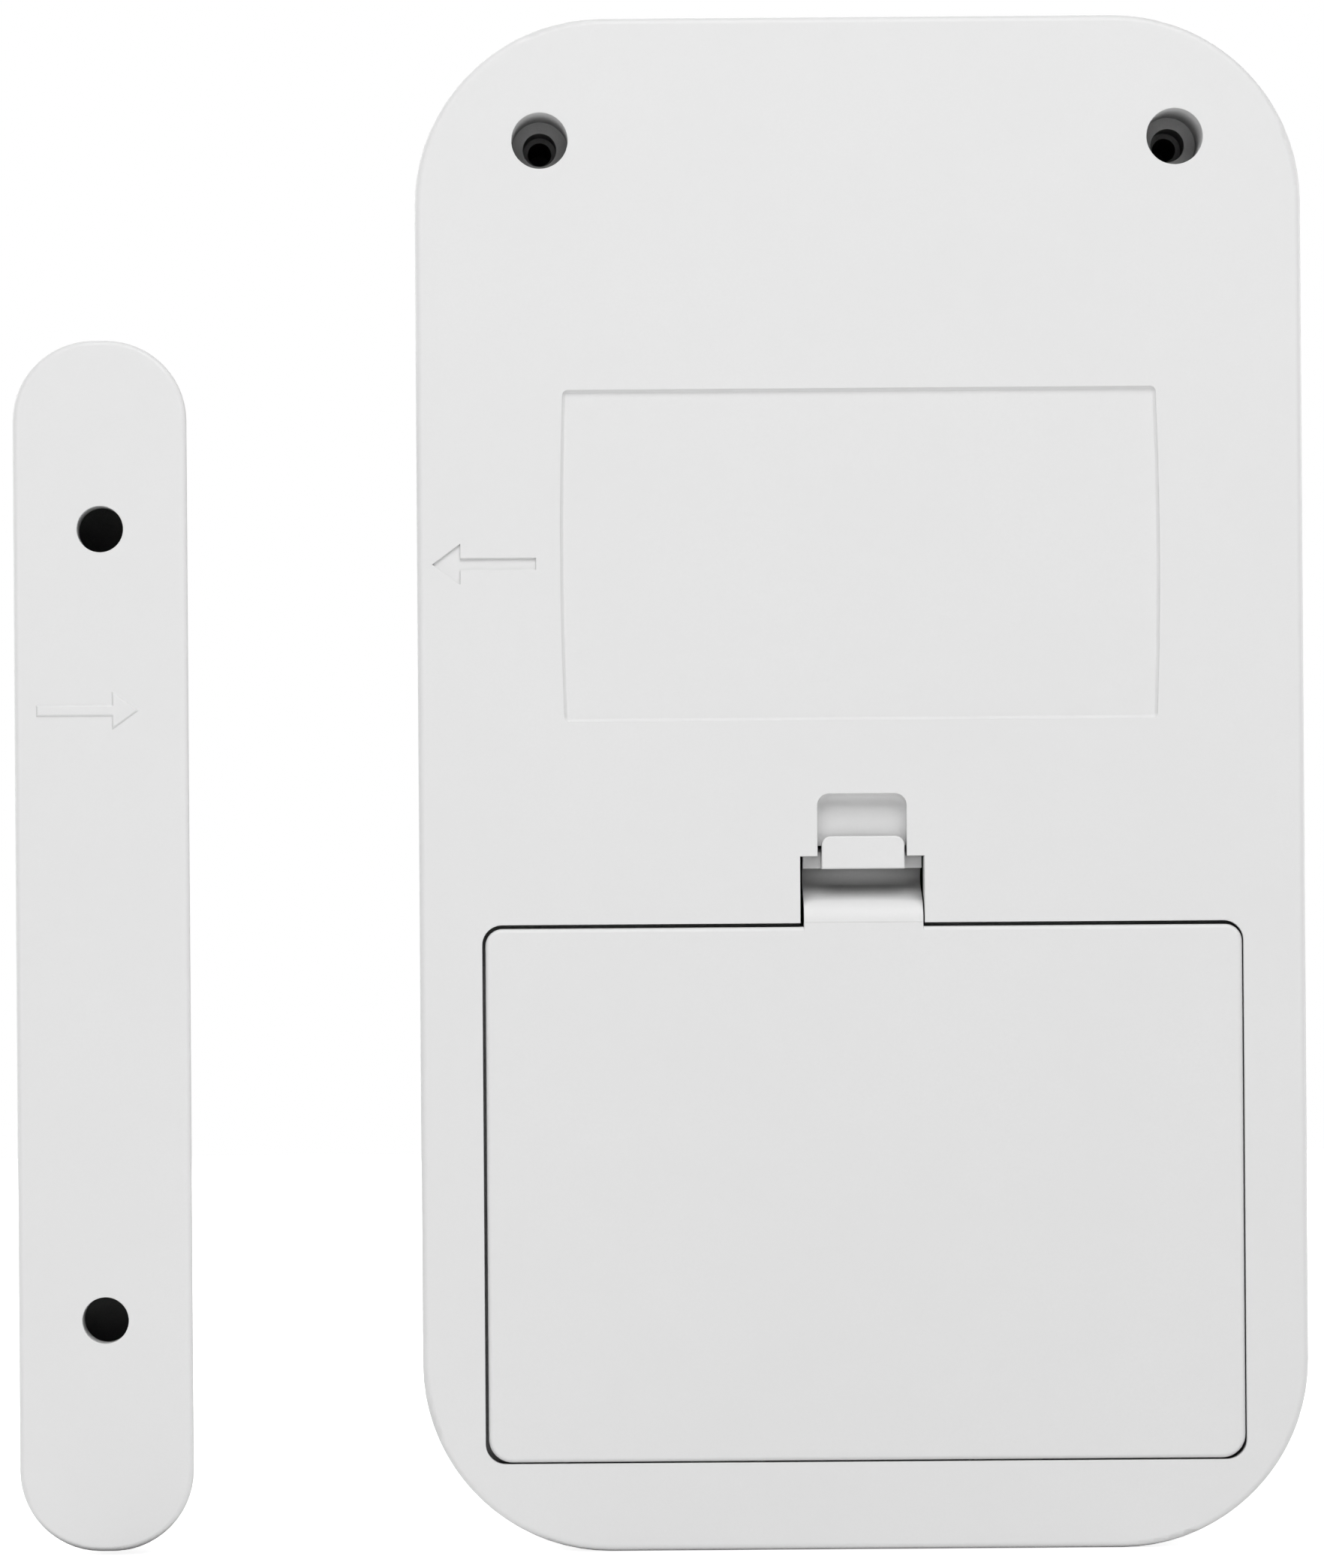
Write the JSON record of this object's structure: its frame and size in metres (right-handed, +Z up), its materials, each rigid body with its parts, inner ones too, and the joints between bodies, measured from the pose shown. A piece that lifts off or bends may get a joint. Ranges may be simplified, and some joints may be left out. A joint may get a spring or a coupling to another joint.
{
  "type": "door contact sensor",
  "caption": "Two-part wireless door contact: a round-cornered main unit with a latched battery door, and a slim magnet unit that stands beside it.",
  "frame": {"origin": "centre of the main unit's flat back face, which lies on the wall or door frame", "axes": "+Z up along the long side, +Y out of the back face, -Y out of the front, +X towards the magnet unit"},
  "size_m": [0.097, 0.0191, 0.1154],
  "materials": {
    "casing_plastic": "fine moulded texture, matte",
    "door_plastic": "fine moulded texture, matte",
    "magnet_plastic": "fine moulded texture, matte",
    "contact_steel": "nickel plated spring steel",
    "screw_steel": "zinc plated",
    "cell_sleeve": "printed sleeve, plain, without lettering",
    "board_laminate": "green solder mask",
    "chip_resin": "black moulded resin",
    "shield_tin": "tinned sheet",
    "reed_glass": "clear glass tube",
    "pipe_acrylic": "clear acrylic",
    "antenna_copper": "bare copper wire",
    "wire_red": "insulated wire",
    "wire_black": "insulated wire",
    "button_plastic": "matte grey",
    "magnet_metal": "nickel plated magnet"
  },
  "bodies": {
    "main_unit": {"rear_case": "casing_plastic", "front_shell": "casing_plastic", "contact_plus_end": "contact_steel", "contact_link_left": "contact_steel", "contact_link_right": "contact_steel", "contact_minus_end": "contact_steel", "contact_spring_1": "contact_steel", "contact_spring_2": "contact_steel", "contact_spring_3": "contact_steel", "battery_cell_1": "cell_sleeve", "battery_cell_2": "cell_sleeve", "battery_cell_3": "cell_sleeve", "battery_wire_red": "wire_red", "battery_wire_black": "wire_black", "circuit_board": "board_laminate", "board_screws": "screw_steel", "reed_glass": "reed_glass", "reed_leads": "contact_steel", "microcontroller": "chip_resin", "radio_shield": "shield_tin", "crystal": "shield_tin", "supply_capacitor": "shield_tin", "antenna_coil": "antenna_copper", "status_led": "pipe_acrylic", "light_pipe": "pipe_acrylic", "pair_switch": "chip_resin"},
    "battery_door": {"battery_door": "door_plastic", "latch_spring": "door_plastic"},
    "door_latch": {"latch_catch": "door_plastic"},
    "pair_button": {"pair_button": "button_plastic", "switch_plunger": "chip_resin"},
    "magnet_unit": {"magnet_base": "magnet_plastic", "magnet_cover": "magnet_plastic", "bar_magnet": "magnet_metal"}
  },
  "joints": [
    {"name": "battery_door_hinge", "type": "hinge", "parent": "main_unit", "child": "battery_door", "pos_m": [0, -0.0004, -0.05065], "axis": [-1, 0, 0], "range_deg": [0, 70]},
    {"name": "latch_press", "type": "slide", "parent": "battery_door", "child": "door_latch", "axis": [0, 0, -1], "range_m": [0, 0.0009], "stiffness_N_per_m": 6000, "deforming": ["latch_spring"]},
    {"name": "pair_button_press", "type": "slide", "parent": "main_unit", "child": "pair_button", "axis": [0, -1, 0], "range_m": [0, 0.0003], "stiffness_N_per_m": 5000},
    {"name": "magnet_slide", "type": "slide", "parent": "main_unit", "child": "magnet_unit", "axis": [1, 0, 0], "range_m": [0, 0.06]}
  ]
}
